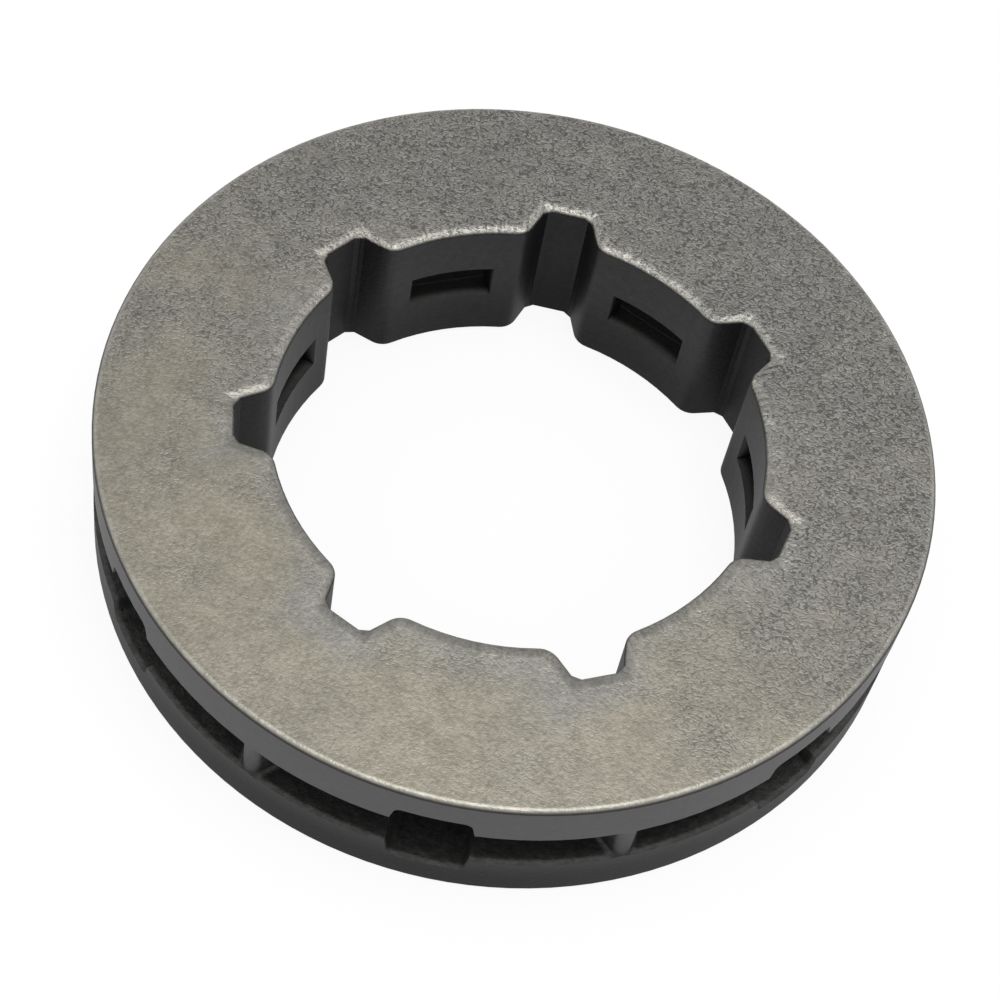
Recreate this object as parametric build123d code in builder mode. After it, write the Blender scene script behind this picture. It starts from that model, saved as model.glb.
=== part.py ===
# Rim sprocket of a chainsaw: one cast steel ring that slides on a splined clutch hub.
# Two flat flanges carry the tie straps of the chain. Between them runs the groove for the
# drive links, bridged by the teeth. Each tooth stands outside a keyway of the bore, and the
# gullet between two teeth opens through a land of the bore as a small window.
# Millimetres. The origin is the centre of the lower face, +Z is the spin axis, and the
# first tooth and its keyway point along +X.

import os
from math import asin, atan2, cos, hypot, pi, radians, sin, tan

from build123d import *

# Ring
outside_diameter = 37.4
thickness = 7.4
tooth_count = 7
rim_edge_chamfer = 0.15

# Splined bore: lands on a circle, and keyways with drafted flanks between them
land_diameter = 22.0
keyway_depth = 1.575
keyway_root_width = 2.1
keyway_flank_angle = 20.0
keyway_mouth_fillet = 0.95
keyway_root_chamfer = 0.28
bore_edge_chamfer = 0.12

# Groove for the drive links, and the wall that the lands leave under it
groove_width = 2.45
land_wall = 0.95
window_width = 4.0
window_height = 1.95

# Teeth, seen along the axis: a round nose, and flanks down to the floor of the gullet
tooth_tip_recess = 0.05
tooth_nose_radius = 0.5
gullet_floor_width = 4.8
gullet_floor_fillet = 0.6
tooth_foot_fillet = 0.25

# Relief pockets in the inner faces of both flanges, midway between two teeth
pocket_mouth_width = 3.6
pocket_floor_width = 3.2
pocket_height = 4.3
pocket_depth = 3.5
pocket_corner_fillet = 0.4

# How far a body that cuts or bridges runs past the face that it meets, and how much the
# blank's rim is turned down
overrun = 0.5

outside_radius = outside_diameter / 2
land_radius = land_diameter / 2
mid_height = thickness / 2
flange_thickness = mid_height - groove_width / 2
half_pitch = pi / tooth_count
gullet_floor_distance = land_radius + land_wall
blank_bore_radius = land_radius - overrun
blank_rim_radius = outside_radius + overrun

# A tooth's flank runs from the corner of the gullet's floor and is tangent to the nose.
nose_centre_x = outside_radius - tooth_tip_recess - tooth_nose_radius
floor_corner_radius = hypot(gullet_floor_distance, gullet_floor_width / 2)
floor_corner_angle = half_pitch - atan2(gullet_floor_width / 2, gullet_floor_distance)
floor_corner_x = floor_corner_radius * cos(floor_corner_angle)
floor_corner_y = floor_corner_radius * sin(floor_corner_angle)
nose_run = nose_centre_x - floor_corner_x
flank_angle = atan2(floor_corner_y, nose_run) - asin(
    tooth_nose_radius / hypot(floor_corner_y, nose_run)
)
apex_x = floor_corner_x + floor_corner_y / tan(flank_angle)
tooth_base_half = (apex_x - blank_bore_radius) * tan(flank_angle)

# A keyway's two flanks spread from the corners of its root and run on into the open bore.
keyway_root_x = land_radius + keyway_depth
keyway_root_half = keyway_root_width / 2
keyway_spread = (keyway_root_x - blank_bore_radius) * tan(radians(keyway_flank_angle))
keyway_start_half = keyway_root_half + keyway_spread


def gullet_planes(radius):
    """One plane across the middle of each gullet, at a distance from the axis, facing out."""
    planes = []
    for index in range(tooth_count):
        angle = (2 * index + 1) * half_pitch
        planes.append(
            Plane(
                origin=(radius * cos(angle), radius * sin(angle), mid_height),
                x_dir=(-sin(angle), cos(angle), 0),
                z_dir=(cos(angle), sin(angle), 0),
            )
        )
    return planes


with BuildSketch() as tooth_outline:
    with BuildLine():
        Polyline(
            (apex_x, 0),
            (blank_bore_radius, tooth_base_half),
            (blank_bore_radius, -tooth_base_half),
            close=True,
        )
    make_face()
    fillet(tooth_outline.vertices().sort_by(Axis.X)[-1], radius=tooth_nose_radius)

with BuildSketch() as keyway_outline:
    with BuildLine():
        Polyline(
            (blank_bore_radius, -keyway_start_half),
            (keyway_root_x, -keyway_root_half),
            (keyway_root_x, keyway_root_half),
            (blank_bore_radius, keyway_start_half),
            close=True,
        )
    make_face()
    chamfer(keyway_outline.vertices().group_by(Axis.X)[-1], length=keyway_root_chamfer)

with BuildPart() as rim_sprocket:
    # Lower flange of the blank, and its mirror image above the groove
    with BuildSketch(Plane.XY):
        Circle(blank_rim_radius)
    extrude(amount=flange_thickness)
    mirror(about=Plane.XY.offset(mid_height))

    # Teeth and the wall of the bore, which bridge the groove from flange to flange
    with BuildSketch(Plane.XY.offset(mid_height)) as bridge_plan:
        RegularPolygon(gullet_floor_distance, tooth_count, major_radius=False)
        with PolarLocations(0, tooth_count):
            add(tooth_outline.sketch)
        corners = bridge_plan.vertices().filter_by(
            lambda corner: abs(hypot(corner.X, corner.Y) - floor_corner_radius) < 0.01
        )
        fillet(corners, radius=gullet_floor_fillet)
    extrude(amount=groove_width / 2 + overrun, both=True)

    # Foot of every tooth and of the floors between them
    levels = rim_sprocket.faces().filter_by(Axis.Z).group_by(Axis.Z)
    groove_sides = [levels[1][0], levels[-2][0]]
    foot_edges = []
    for side in groove_sides:
        foot_edges += side.inner_wires()[0].edges()
    fillet(foot_edges, radius=tooth_foot_fillet)

    # Rim, turned to size with broken edges, which leaves the teeth's feet flush with it
    with BuildSketch(Plane.XZ) as turned_section:
        Rectangle(outside_radius, thickness, align=Align.MIN)
        rim_corners = turned_section.vertices().group_by(Axis.X)[-1]
        chamfer(rim_corners, length=rim_edge_chamfer)
    revolve(axis=Axis.Z, mode=Mode.INTERSECT)

    # Relief pockets, cut outwards through the rims of both flanges
    with BuildSketch(*gullet_planes(outside_radius - pocket_depth)) as pocket_section:
        with BuildLine():
            Polyline(
                (pocket_mouth_width / 2, groove_width / 2),
                (pocket_floor_width / 2, pocket_height / 2),
                (-pocket_floor_width / 2, pocket_height / 2),
                (-pocket_mouth_width / 2, groove_width / 2),
                (-pocket_mouth_width / 2, -groove_width / 2),
                (-pocket_floor_width / 2, -pocket_height / 2),
                (pocket_floor_width / 2, -pocket_height / 2),
                (pocket_mouth_width / 2, -groove_width / 2),
                close=True,
            )
        make_face()
        levels = pocket_section.vertices().group_by(Axis.Y)
        fillet(levels[0] + levels[-1], radius=pocket_corner_fillet)
    extrude(amount=pocket_depth + overrun, mode=Mode.SUBTRACT)

    # Windows, from inside the bore out through the wall under each gullet
    with BuildSketch(*gullet_planes(blank_bore_radius - overrun)):
        Rectangle(window_width, window_height)
    extrude(amount=land_wall + 3 * overrun, mode=Mode.SUBTRACT)

    # Splined bore
    with BuildSketch(Plane.XY) as bore_outline:
        Circle(land_radius)
        with PolarLocations(0, tooth_count):
            add(keyway_outline.sketch)
        mouths = bore_outline.vertices().group_by(SortBy.DISTANCE)[0]
        fillet(mouths, radius=keyway_mouth_fillet)
    extrude(amount=thickness, mode=Mode.SUBTRACT)

    # Broken edges of the bore, on both faces of the ring
    face_levels = rim_sprocket.faces().filter_by(Axis.Z).group_by(Axis.Z)
    lower_face = face_levels[0][0]
    upper_face = face_levels[-1][0]
    bore_edges = lower_face.inner_wires()[0].edges() + upper_face.inner_wires()[0].edges()
    chamfer(bore_edges, length=bore_edge_chamfer)

rim_sprocket.part.label = "rim_sprocket"
os.makedirs("parts", exist_ok=True)
export_step(rim_sprocket.part, "parts/rim_sprocket.step")
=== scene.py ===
from functools import partial
from math import cos, pi, radians, sin

import bmesh
import bpy
import numpy as np
from mathutils import Matrix, Vector


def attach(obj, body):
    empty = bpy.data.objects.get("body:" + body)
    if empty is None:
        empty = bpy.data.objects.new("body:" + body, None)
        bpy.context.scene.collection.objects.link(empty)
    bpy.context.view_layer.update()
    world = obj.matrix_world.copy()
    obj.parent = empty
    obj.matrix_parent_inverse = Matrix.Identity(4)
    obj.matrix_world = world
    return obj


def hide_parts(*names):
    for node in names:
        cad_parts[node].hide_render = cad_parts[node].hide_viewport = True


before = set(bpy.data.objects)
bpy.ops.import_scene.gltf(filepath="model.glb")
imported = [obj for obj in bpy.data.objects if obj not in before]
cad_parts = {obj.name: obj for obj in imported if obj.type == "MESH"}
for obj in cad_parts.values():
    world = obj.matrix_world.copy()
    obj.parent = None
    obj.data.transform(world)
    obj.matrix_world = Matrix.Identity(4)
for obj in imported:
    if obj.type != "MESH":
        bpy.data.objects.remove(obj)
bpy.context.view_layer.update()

millimetre = 0.001


def toLinear(hexColour):
    # sRGB hex to linear, the standard curve: below 0.04045 a straight line, above it a power of 2.4
    value = np.array([int(hexColour[i:i + 2], 16) for i in (1, 3, 5)]) / 255
    linear = np.where(value <= 0.04045, value / 12.92, ((value + 0.055) / 1.055) ** 2.4)
    return (*linear.tolist(), 1.0)


def addNode(tree, kind, inputs=(), out=None, **settings):
    # one node with its settings and its inputs, in their order or by name, each a value or a
    # socket to link from: gives back the output that is asked for, or the first one in use
    made = tree.nodes.new("ShaderNode" + kind)
    for name, value in settings.items():
        setattr(made, name, value)
    for name, source in (inputs.items() if isinstance(inputs, dict) else enumerate(inputs)):
        if isinstance(source, bpy.types.NodeSocket):
            tree.links.new(source, made.inputs[name])
        else:
            made.inputs[name].default_value = source
    if out is not None:
        return made.outputs[out]
    return next((socket for socket in made.outputs if socket.enabled), None)


def startTree(owner):
    # the empty node tree of a new material or world
    owner.use_nodes = True
    owner.node_tree.nodes.clear()
    return owner.node_tree


def addObject(name, data):
    made = bpy.data.objects.new(name, data)
    bpy.context.scene.collection.objects.link(made)
    return made


def aimAt(place, target):
    # the matrix of a camera or a lamp that stands at a place and looks at a target
    turn = (target - place).to_track_quat("-Z", "Y").to_matrix().to_4x4()
    return Matrix.Translation(place) @ turn


cameraView = {
    "place": (14.583, -62.964, 99.328),     # mm, where the lens stands
    "aim": (0.665, -3.841, 7.4),            # mm, what is in the middle of the picture
    "roll": -12.26,                         # degrees
    "lens": 91.67,                          # mm
    "sensor": 36,                           # mm
    "clip": (0.005, 20),                    # m
}


def addCamera(view):
    data = bpy.data.cameras.new("photoCamera")
    data.lens = view["lens"]
    data.sensor_width = view["sensor"]
    data.clip_start, data.clip_end = view["clip"]
    camera = addObject("photoCamera", data)
    place = Vector(view["place"]) * millimetre
    target = Vector(view["aim"]) * millimetre
    roll = Matrix.Rotation(radians(-view["roll"]), 4, "Z")
    camera.matrix_world = aimAt(place, target) @ roll
    bpy.context.scene.camera = camera


addCamera(cameraView)
print("camera placed")

castSteel = {
    "colours": {
        "fresh": "#656361",         # faces where the tumbling left its pits
        "smoothAndLit": "#837F73",        # the same where they are rubbed smoother; lighter and warmer there as painted light on that side
        "cool": "#7A7A79",          # cooler bloom round the bore, on the smoother side
        "pit": "#3C3B38",           # bottoms of the pits
        "lipHighlight": "#A3A29C",           # painted highlights on the raised lips beside the pits
        "edgeAndHighlight": "#A9A7A0",          # rubbed edges of the faces, with a painted highlight on them
        "groove": "#474746",        # groove near its mouth, and pockets
        "gullet": "#5C5C5A",        # gullets between the teeth
        "wall": "#5C5C5C",          # outside wall of the upper flange, and the teeth's noses
        "wallShadedLow": "#262626",       # the same at the lower flange, darker as painted shade towards the lower face
        "bevelShadeLine": "#443F39",          # dark line of painted shade where a bevel meets the outside wall
        "keyway": "#303030",
        "land": "#3D3D3E",          # lands of the bore
        "window": "#353534",        # sills and sides of the windows
    },
    "shares": {                     # how far each goes towards its colour
        "cool": 0.55,
        "pit": 0.50,
        "lipHighlight": 0.36,
        "edgeAndHighlight": 0.50,
        "boreShadedLow": 0.45,            # what is left of the bore's tone at the lower face, under painted shade
        "grooveMottle": 1.7,        # how strong the mottling of the dark skin is in the groove
        "wallMottle": 0.3,          # and on the outside wall
    },
    "sizes": {                      # mm, and where there are two, from where to where
        "middle": 3.7,              # height of the ring's middle
        "face": (3.57, 3.66),       # from the middle, where the faces start
        "wall": (17.25, 18.25),     # from the axis, where the outside wall starts
        "land": (11.0, 11.9),       # from the axis, where the lands end
        "bore": (12.9, 13.3),       # from the axis, outside the roots of the keyways
        "groove": (13.5, 17.0),     # from the axis, gullets to groove
        "wallShade": (0.8, 5.4),      # heights between which the painted shade on the outside wall fades
        "boreShade": (0.5, 5.5),      # and the painted shade in the bore
        "lineRadius": (18.65, 18.7),
        "lineHeight": (3.47, 3.55),     # from the middle
        "landRadius": 11.0,
        "keywayRoot": 12.575,       # from the axis
        "keywayHalf": 1.05,         # half of the root's width
        "mouthRound": 0.3,
        "rimRadius": 18.55,         # outer edge of a face
        "bloom": (0.5, 2.4),        # from the bore, where the cooler bloom fades
        "bloomShake": 1.5,
        "edgeShake": 0.9,
        "hairLength": 1.5,
        "boreEdge": (0.1, 0.55),    # from the bore, where its rubbed edge and painted highlight fade
        "rimEdge": 0.16,            # width of the rubbed edge at the rim, and of its painted highlight
        "reliefDepth": 0.03,
    },
    "patterns": {                   # spacing in mm, then detail, roughness and distortion
        "pit": (0.255, 1.0, 0.5, 0.4),      # pits that tumbling left
        "gap": (0.20, 1.0, 0.5, 0.0),       # breaks the pits up
        "grain": (0.17, 2.0, 0.6, 0.0),     # drawn twice as coarse as the real grain, to show
        "speck": (0.9, 3.0, 0.6, 0.0),
        "spot": (2.2, 2.0, 0.5, 0.0),
        "cloud": (6.0, 3.0, 0.5, 0.0),
        "border": (4.0, 2.0, 0.5, 0.0),     # shakes the border of the smoother side
        "cast": (0.40, 3.0, 0.65, 0.0),     # dark skin that the tumbling did not reach
        "shake": (0.30, 3.0, 0.6, 0.0),     # shakes the rubbed edges
        "hair": (0.16, 1.0, 0.5, 0.0),      # hairs along the bore's edge
    },
    "pitStretch": 1.4,              # the pits lie mostly along the belt that ground the faces
    "pitTurn": 13.25,               # degrees from +X
    "pitLine": (0.015, 0.09),       # how far from its noise's middle value a pit fades
    "pitGap": (0.38, 0.56),
    "pitLeast": 0.15,               # pits that are left on the smoother side
    "lipInside": (0.05, 0.09),
    "lipOutside": (0.10, 0.20),
    "rubSlant": (2.5, 26.0, 0.0),   # per metre, away from the smoother, painted-lighter side
    "rubBorder": (0.09, 0.78),
    "warmth": (0.8, 0.2),           # how far the smoother side's painted light and the clouds go towards the smooth colour
    "cloudRange": (0.35, 0.70),
    "wallFacing": (0.2, 0.7),       # how far a wall faces away from the axis
    "windowFacing": (-0.25, -0.05),
    "keyways": 7,
    "flankAngle": 20,               # degrees
    "edgeShaken": (0.5, 0.15),      # share of the shake at the bore and at the rim
    "edgeLeast": 0.3,               # rub and painted highlight round the bore that are left on the smoother side
    "boreRoll": 0.19,               # mm, how far the bore's edges roll off
    "rimRoll": 0.03,                # mm
    "boreCalm": 0.7,                # how much of the mottling the bore doesn't have
    "speckle": (0.7, 0.3),          # share of the specks and the spots beside the grain
    "toneFrom": (0.3, 0.7),         # of the patterns, and the tone that it becomes
    "toneTo": (0.84, 1.16),
    "roughness": (0.58, 0.46),      # dark skin, faces
    "pitDepth": 1.2,                # against the grain's
    "castDepth": 1.4,
    "reliefStrength": 0.5,
}


def addPatterns(add, patterns, coords, places):
    # a noise for each pattern, read at its own place where it has one
    noise = {}
    for name, (spacing, detail, rough, distortion) in patterns.items():
        noise[name] = add("TexNoise", {
            "Vector": places.get(name, coords), "Scale": 1 / (spacing * millimetre),
            "Detail": detail, "Roughness": rough, "Distortion": distortion,
        })
    return noise


def addBoreDistance(add, look, size, x, y, radius):
    # distance on a face from the bore's outline: the place is folded into one keyway's
    # sector, where the opening is a disc joined to a keyway between two sloping flanks, and
    # the distances past the disc and past the keyway are joined by a smooth minimum
    sector = pi / look["keyways"]
    slope = radians(look["flankAngle"])
    angle = add("Math", [y, x], operation="ARCTAN2")
    angle = add("Math", [angle, sector, -sector], operation="WRAP")
    outward = add("Math", [angle], operation="COSINE")
    outward = add("Math", [radius, outward], operation="MULTIPLY")
    pastRoot = add("Math", [outward, size["keywayRoot"]], operation="SUBTRACT")
    across = add("Math", [angle], operation="SINE")
    across = add("Math", [radius, across], operation="MULTIPLY")
    across = add("Math", [across], operation="ABSOLUTE")
    pastSide = add("Math", [across, size["keywayHalf"]], operation="SUBTRACT")
    pastSide = add("Math", [pastSide, cos(slope)], operation="MULTIPLY")
    pastFlank = add("Math", [pastRoot, sin(slope), pastSide], operation="MULTIPLY_ADD")
    toKeyway = add("Math", [pastRoot, pastFlank], operation="MAXIMUM")
    toLand = add("Math", [radius, size["landRadius"]], operation="SUBTRACT")
    return add("Math", [toLand, toKeyway, size["mouthRound"]], operation="SMOOTH_MIN")


def makeCastSteel(look):
    # Investment-cast steel, hardened and then tumbled: matt grey faces with short worm-like pits,
    # rubbed at their edges and painted there with a highlight, a darker unworn skin in the bore and
    # groove, and painted shade towards the lower face.
    material = bpy.data.materials.new("tumbledCastSteel")
    add = partial(addNode, startTree(material))
    eased = {"interpolation_type": "SMOOTHSTEP"}
    blend = {"data_type": "RGBA"}   # a blend's two colours are its inputs 6 and 7
    colour = {name: toLinear(value) for name, value in look["colours"].items()}
    size = {name: np.multiply(value, millimetre).tolist() for name, value in look["sizes"].items()}
    share = look["shares"]

    coords = add("TexCoord", out="Object")
    x, y, z = (add("SeparateXYZ", [coords], axis) for axis in "XYZ")
    flat = add("VectorMath", [coords, (1, 1, 0)], operation="MULTIPLY")
    radius = add("VectorMath", [flat], operation="LENGTH")
    away = add("VectorMath", [flat], operation="NORMALIZE")

    # the patterns: pits are read along the grinding belt, and hairs by the direction from the
    # axis alone, and most of them work both ways from their middle value
    belt = {"Vector": coords, "Rotation": (0, 0, radians(look["pitTurn"])),
            "Scale": (look["pitStretch"], 1, 1)}
    along = add("Mapping", belt, vector_type="TEXTURE")
    spoke = add("VectorMath", {0: away, "Scale": size["landRadius"]}, operation="SCALE")
    noise = addPatterns(add, look["patterns"], coords, {"pit": along, "hair": spoke})
    swing = {name: add("Math", [noise[name], 0.5], operation="SUBTRACT")
             for name in ("pit", "speck", "spot", "cast", "shake", "hair")}

    # the zones: faces by height, walls and noses by radius where they face away from the axis,
    # and in the bore what faces the axis, so that the rest is a window's wall
    height = add("Math", [z, size["middle"]], operation="SUBTRACT")
    height = add("Math", [height], operation="ABSOLUTE")
    onFace = add("MapRange", [height, *size["face"]], **eased)
    facing = add("VectorMath", [add("TexCoord", out="Normal"), away], operation="DOT_PRODUCT")
    outer = add("MapRange", [radius, *size["wall"]], **eased)
    outwards = add("MapRange", [facing, *look["wallFacing"]], **eased)
    onWall = add("Math", [outer, outwards], operation="MULTIPLY")
    onLand = add("MapRange", [radius, *size["land"], 1, 0], **eased)
    inBore = add("MapRange", [radius, *size["bore"], 1, 0], **eased)
    sideways = add("MapRange", [facing, *look["windowFacing"]], **eased)
    inWindow = add("Math", [inBore, sideways], operation="MULTIPLY")

    # one side of the ring is rubbed smoother and carries painted light, lighter and warmer:
    # distance along a slanting line, shaken by noise
    slant = add("VectorMath", [coords, look["rubSlant"]], operation="DOT_PRODUCT")
    fresh = add("Math", [slant, noise["border"]], operation="ADD")
    fresh = add("MapRange", [fresh, *look["rubBorder"]], **eased)
    rubbedAndLit = add("Math", [1, fresh], operation="SUBTRACT")
    pitted = add("Math", [fresh, 1 - look["pitLeast"], look["pitLeast"]], operation="MULTIPLY_ADD")

    # pits: worm-like lines where their noise passes through its middle value, broken up by a
    # second noise, with painted highlights on the lips on both sides of them
    fromLine = add("Math", [swing["pit"]], operation="ABSOLUTE")
    pits = add("MapRange", [fromLine, *look["pitLine"], 1, 0], **eased)
    gaps = add("MapRange", [noise["gap"], *look["pitGap"]], **eased)
    gaps = add("Math", [pitted, gaps], operation="MULTIPLY")
    pits = add("Math", [pits, gaps], operation="MULTIPLY")
    inside = add("MapRange", [fromLine, *look["lipInside"]], **eased)
    outside = add("MapRange", [fromLine, *look["lipOutside"], 1, 0], **eased)
    lipHighlights = add("Math", [inside, outside], operation="MULTIPLY")
    lipHighlights = add("Math", [lipHighlights, pitted], operation="MULTIPLY")

    # rubbed edges of the faces with a painted highlight on them: the one round the bore ends in
    # short hairs
    toBore = addBoreDistance(add, look, size, x, y, radius)
    toRim = add("Math", [size["rimRadius"], radius], operation="SUBTRACT")
    boreShaken, rimShaken = look["edgeShaken"]
    shake = add("Math", [swing["shake"], size["edgeShake"]], operation="MULTIPLY")
    hairs = add("Math", [swing["hair"], size["hairLength"], toBore], operation="MULTIPLY_ADD")
    hairs = add("Math", [shake, boreShaken, hairs], operation="MULTIPLY_ADD")
    boreEdge = add("MapRange", [hairs, *size["boreEdge"], 1, 0], **eased)
    leastEdge = look["edgeLeast"]
    keptEdge = add("Math", [fresh, 1 - leastEdge, leastEdge], operation="MULTIPLY_ADD")
    boreEdge = add("Math", [boreEdge, keptEdge], operation="MULTIPLY")
    rimEdge = add("Math", [shake, rimShaken, toRim], operation="MULTIPLY_ADD")
    rimEdge = add("MapRange", [rimEdge, 0, size["rimEdge"], 1, 0], **eased)
    edgeWearAndHighlight = add("Math", [boreEdge, rimEdge], operation="MAXIMUM")
    edgeWearAndHighlight = add("Math", [edgeWearAndHighlight, onFace], operation="MULTIPLY")

    # painted light, warmer and lighter, where it is rubbed smoother, with a cooler bloom near the
    # bore on that side
    litWarmth, cloudWarm = look["warmth"]
    cloud = add("MapRange", [noise["cloud"], *look["cloudRange"]], **eased)
    warm = add("Math", [rubbedAndLit, litWarmth], operation="MULTIPLY")
    warm = add("Math", [cloud, cloudWarm, warm], operation="MULTIPLY_ADD")
    bloom = add("Math", [cloud, 0.5], operation="SUBTRACT")
    bloom = add("Math", [bloom, size["bloomShake"], toBore], operation="MULTIPLY_ADD")
    bloom = add("MapRange", [bloom, *size["bloom"], 1, 0], **eased)
    bloom = add("Math", [bloom, rubbedAndLit], operation="MULTIPLY")

    # colour of the faces, laid on in this order
    face = add("Mix", {"Factor": warm, 6: colour["fresh"], 7: colour["smoothAndLit"]}, **blend)
    for name, zone in (("cool", bloom), ("pit", pits), ("lipHighlight", lipHighlights), ("edgeAndHighlight", edgeWearAndHighlight)):
        zone = add("Math", [zone, share[name]], operation="MULTIPLY")
        face = add("Mix", {"Factor": zone, 6: face, 7: colour[name]}, **blend)

    # colour of the dark skin: painted shade darkens walls and bore towards the lower face, and a
    # line of painted shade lies right under each bevel
    # painted shade: the outside wall darkens towards the lower face
    low = add("MapRange", [z, *size["wallShade"], 1, 0], **eased)
    wall = add("Mix", {"Factor": low, 6: colour["wall"], 7: colour["wallShadedLow"]}, **blend)
    bore = add("Mix", {"Factor": onLand, 6: colour["keyway"], 7: colour["land"]}, **blend)
    # painted shade: the bore darkens towards the lower face
    shade = add("MapRange", [z, *size["boreShade"], share["boreShadedLow"], 1], **eased)
    bore = add("VectorMath", {0: bore, "Scale": shade}, operation="SCALE")
    # painted shade: a dark line right under each bevel, where it meets the outside wall
    lineOut = add("MapRange", [radius, *size["lineRadius"]], **eased)
    lineUp = add("MapRange", [height, *size["lineHeight"]], **eased)
    bevelShadeLine = add("Math", [lineOut, lineUp], operation="MULTIPLY")
    deep = add("MapRange", [radius, *size["groove"], 1, 0], **eased)
    skin = colour["groove"]
    for zone, over in ((deep, colour["gullet"]), (onWall, wall), (bevelShadeLine, colour["bevelShadeLine"]),
                       (inBore, bore), (inWindow, colour["window"]), (onFace, face)):
        skin = add("Mix", {"Factor": zone, 6: skin, 7: over}, **blend)

    # fine grain in the tone of the faces, and coarser mottling on the dark skin: all of it in
    # the groove, less in the bore, and hardly any on the outside walls
    offFace = add("Math", [1, onFace], operation="SUBTRACT")
    plain = add("Math", [onFace, onWall], operation="MAXIMUM")
    plain = add("Math", [1, plain], operation="SUBTRACT")
    boreSkin = add("Math", [inBore, -look["boreCalm"], 1], operation="MULTIPLY_ADD")
    castSkin = add("Math", [plain, boreSkin], operation="MULTIPLY")
    mottle = [castSkin, share["grooveMottle"], share["wallMottle"]]
    mottle = add("Math", mottle, operation="MULTIPLY_ADD")
    mottle = add("Math", [swing["cast"], mottle, 0.5], operation="MULTIPLY_ADD")
    speckShare, spotShare = look["speckle"]
    specks = add("Math", [swing["speck"], speckShare, noise["grain"]], operation="MULTIPLY_ADD")
    specks = add("Math", [swing["spot"], spotShare, specks], operation="MULTIPLY_ADD")
    specks = add("Math", [specks, onFace], operation="MULTIPLY")
    tone = add("Math", [mottle, offFace, specks], operation="MULTIPLY_ADD")
    tone = add("MapRange", [tone, *look["toneFrom"], *look["toneTo"]])
    skin = add("VectorMath", {0: skin, "Scale": tone}, operation="SCALE")
    rough = add("MapRange", [onFace, 0, 1, *look["roughness"]])

    # relief: edges that tumbling rolled off, as the square of the distance past where they
    # start to fall, then fine grain everywhere, pits on the faces and the cast skin's lumps
    fall = 0
    for distance, width, roll in ((toRim, size["rimEdge"], look["rimRoll"]),
                                  (toBore, size["boreEdge"][1], look["boreRoll"])):
        past = add("Math", [distance, width], operation="DIVIDE")
        past = add("Math", [1, past], operation="SUBTRACT")
        past = add("Math", [past, 0], operation="MAXIMUM")
        past = add("Math", [past, 2], operation="POWER")
        fall = add("Math", [past, roll, fall], operation="MULTIPLY_ADD")
    rolled = add("Bump", {"Strength": 1, "Distance": millimetre, "Height": fall}, invert=True)
    relief = add("Math", [pits, onFace], operation="MULTIPLY")
    relief = add("Math", [relief, -look["pitDepth"], noise["grain"]], operation="MULTIPLY_ADD")
    lumps = add("Math", [castSkin, look["castDepth"]], operation="MULTIPLY")
    relief = add("Math", [mottle, lumps, relief], operation="MULTIPLY_ADD")
    bump = add("Bump", {"Strength": look["reliefStrength"], "Distance": size["reliefDepth"],
                        "Height": relief, "Normal": rolled})

    shader = add("BsdfPrincipled", {"Base Color": skin, "Metallic": 1, "Roughness": rough,
                                    "Normal": bump})
    add("OutputMaterial", [shader])
    return material


ringShape = {
    "faces": (0.0, 0.0074),         # m, heights of the two faces
    "bevel": 0.00016,               # m, how far from a face its bevels reach
    "slope": (0.3, 0.95),           # how far a bevel's normal points up or down
    "weld": 1e-7,                   # m, corners nearer than this become one
    "flush": 1e-5,                  # m, and this near a face they lie on it
}


def roundBevels(node, name, shape):
    # a welded copy of the ring that keeps its exact normals, except on the bevels round its
    # faces: there a corner on the face points straight up or down, and a corner on the wall
    # points level, so that each bevel shades as a round
    mesh = node.data.copy()
    mesh.name = name
    mesh.materials.clear()
    exact = np.empty(len(mesh.loops) * 3, np.float32)
    mesh.corner_normals.foreach_get("vector", exact)
    kept = mesh.attributes.new("exactNormal", "FLOAT_VECTOR", "CORNER")
    kept.data.foreach_set("vector", exact)
    work = bmesh.new()
    work.from_mesh(mesh)
    bmesh.ops.remove_doubles(work, verts=work.verts, dist=shape["weld"])
    work.to_mesh(mesh)
    work.free()

    normals = np.empty((len(mesh.loops), 3), np.float32)
    mesh.attributes["exactNormal"].data.foreach_get("vector", normals.ravel())
    points = np.empty((len(mesh.vertices), 3), np.float32)
    mesh.vertices.foreach_get("co", points.ravel())
    vertexOf = np.empty(len(mesh.loops), np.int32)
    mesh.loops.foreach_get("vertex_index", vertexOf)
    height = points[vertexOf, 2]
    low, high = shape["faces"]
    fromFace = np.minimum(np.abs(height - low), np.abs(height - high))
    least, most = shape["slope"]
    upDown = np.abs(normals[:, 2])
    sloping = (upDown > least) & (upDown < most) & (fromFace < shape["bevel"])
    onFace = sloping & (fromFace < shape["flush"])
    onWall = sloping & ~onFace
    level = normals * np.array([1, 1, 0])
    level /= np.maximum(np.linalg.norm(level, axis=1, keepdims=True), 1e-9)
    upright = np.zeros_like(normals)
    upright[:, 2] = np.sign(normals[:, 2])
    normals[onFace] = upright[onFace]
    normals[onWall] = level[onWall]
    mesh.attributes.remove(mesh.attributes["exactNormal"])
    mesh.shade_smooth()
    mesh.normals_split_custom_set(normals.tolist())
    print("bevels rounded at", int(onFace.sum() + onWall.sum()), "corners")
    return addObject(name, mesh)


ring = roundBevels(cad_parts["rim_sprocket"], "ringSprocket", ringShape)
ring.data.materials.append(makeCastSteel(castSteel))
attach(ring, "root")
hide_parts("rim_sprocket")
print("ring welded, cast steel on it")

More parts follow.
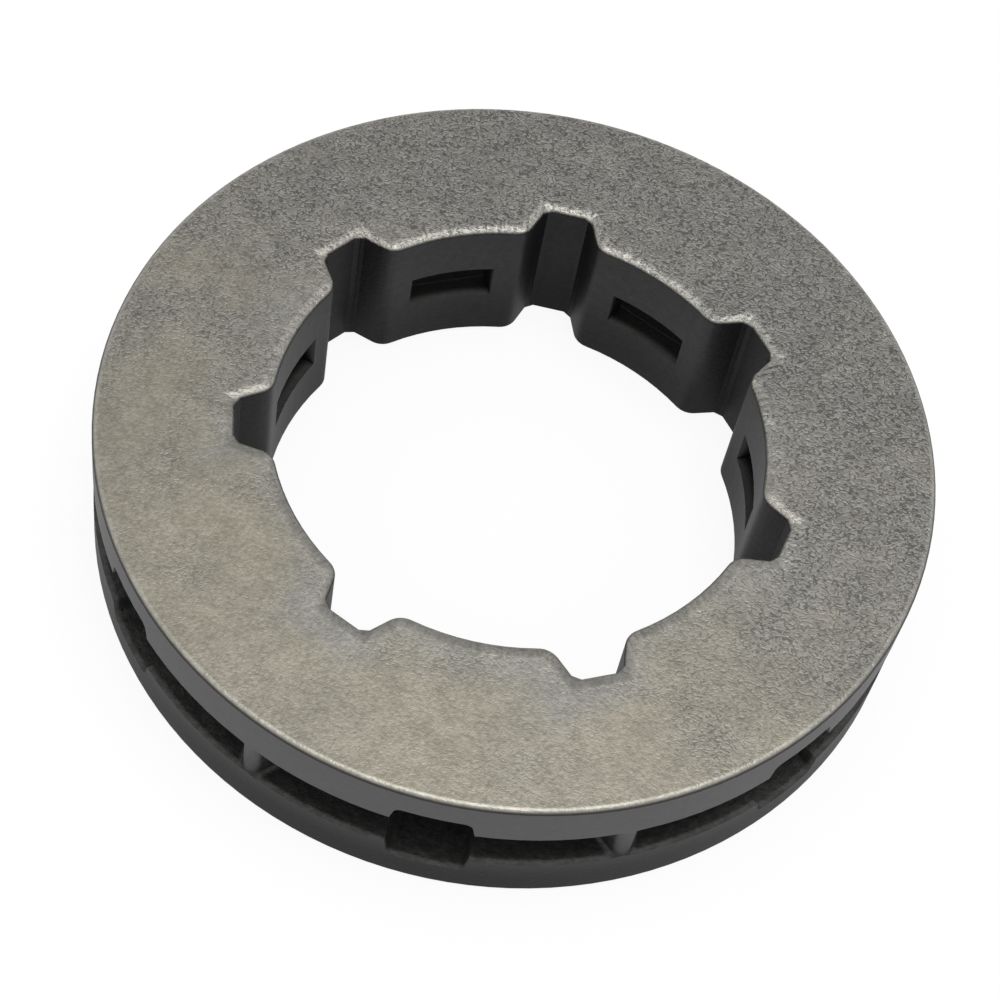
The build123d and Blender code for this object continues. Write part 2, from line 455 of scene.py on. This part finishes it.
studio = {
    "floorSize": 3.0,               # m
    "floorColour": "#E6E6E4",
    "background": "#FFFFFF",        # plain white all round
    "worldLevel": 1.0,
    "shadowShare": 0.1,             # how much of the floor's tone is the lit card with its shadow
    "softboxes": [
        # name, direction (degrees round, degrees up), distance m, width m, power W
        ("overhead", 15, 84, 0.60, 0.30, 1.70),
        ("leftFill", 225, 45, 0.70, 0.40, 0.10),
    ],
}


def addFloor(look):
    # a flat square of matt card. It is mostly plain white to the lens, in reflections and
    # through glass, and for the rest the lit card with the ring's shadow on it
    material = bpy.data.materials.new("mattWhiteCard")
    add = partial(addNode, startTree(material))
    card = add("BsdfDiffuse", [toLinear(look["floorColour"])])
    white = add("Emission", [toLinear(look["background"]), 1])
    camera, glossy, through = (add("LightPath", out=f"Is {ray} Ray")
                               for ray in ("Camera", "Glossy", "Transmission"))
    shown = add("Math", [camera, glossy], operation="MAXIMUM")
    shown = add("Math", [shown, through], operation="MAXIMUM")
    shown = add("Math", [shown, 1 - look["shadowShare"]], operation="MULTIPLY")
    add("OutputMaterial", [add("MixShader", [shown, card, white])])

    corners = np.array([(-1, -1, 0), (1, -1, 0), (1, 1, 0), (-1, 1, 0)]) * look["floorSize"] / 2
    mesh = bpy.data.meshes.new("floor")
    mesh.from_pydata(corners.tolist(), [], [(0, 1, 2, 3)])
    mesh.materials.append(material)
    addObject("floor", mesh)


def addWorld(look):
    world = bpy.data.worlds.new("studio")
    bpy.context.scene.world = world
    add = partial(addNode, startTree(world))
    light = add("Background", [toLinear(look["background"]), look["worldLevel"]])
    add("OutputWorld", [light])


def addSoftbox(name, around, up, distance, width, power):
    # a round lamp that looks at the ring from a direction, given as two angles
    data = bpy.data.lights.new(name, "AREA")
    data.shape = "DISK"
    data.size = width
    data.energy = power
    lamp = addObject(name, data)
    around, up = radians(around), radians(up)
    direction = Vector((cos(up) * cos(around), cos(up) * sin(around), sin(up)))
    lamp.matrix_world = aimAt(direction * distance, Vector())


addFloor(studio)
addWorld(studio)
for box in studio["softboxes"]:
    addSoftbox(*box)
bpy.context.scene.view_settings.view_transform = "Standard"
print("floor, world and softboxes placed")
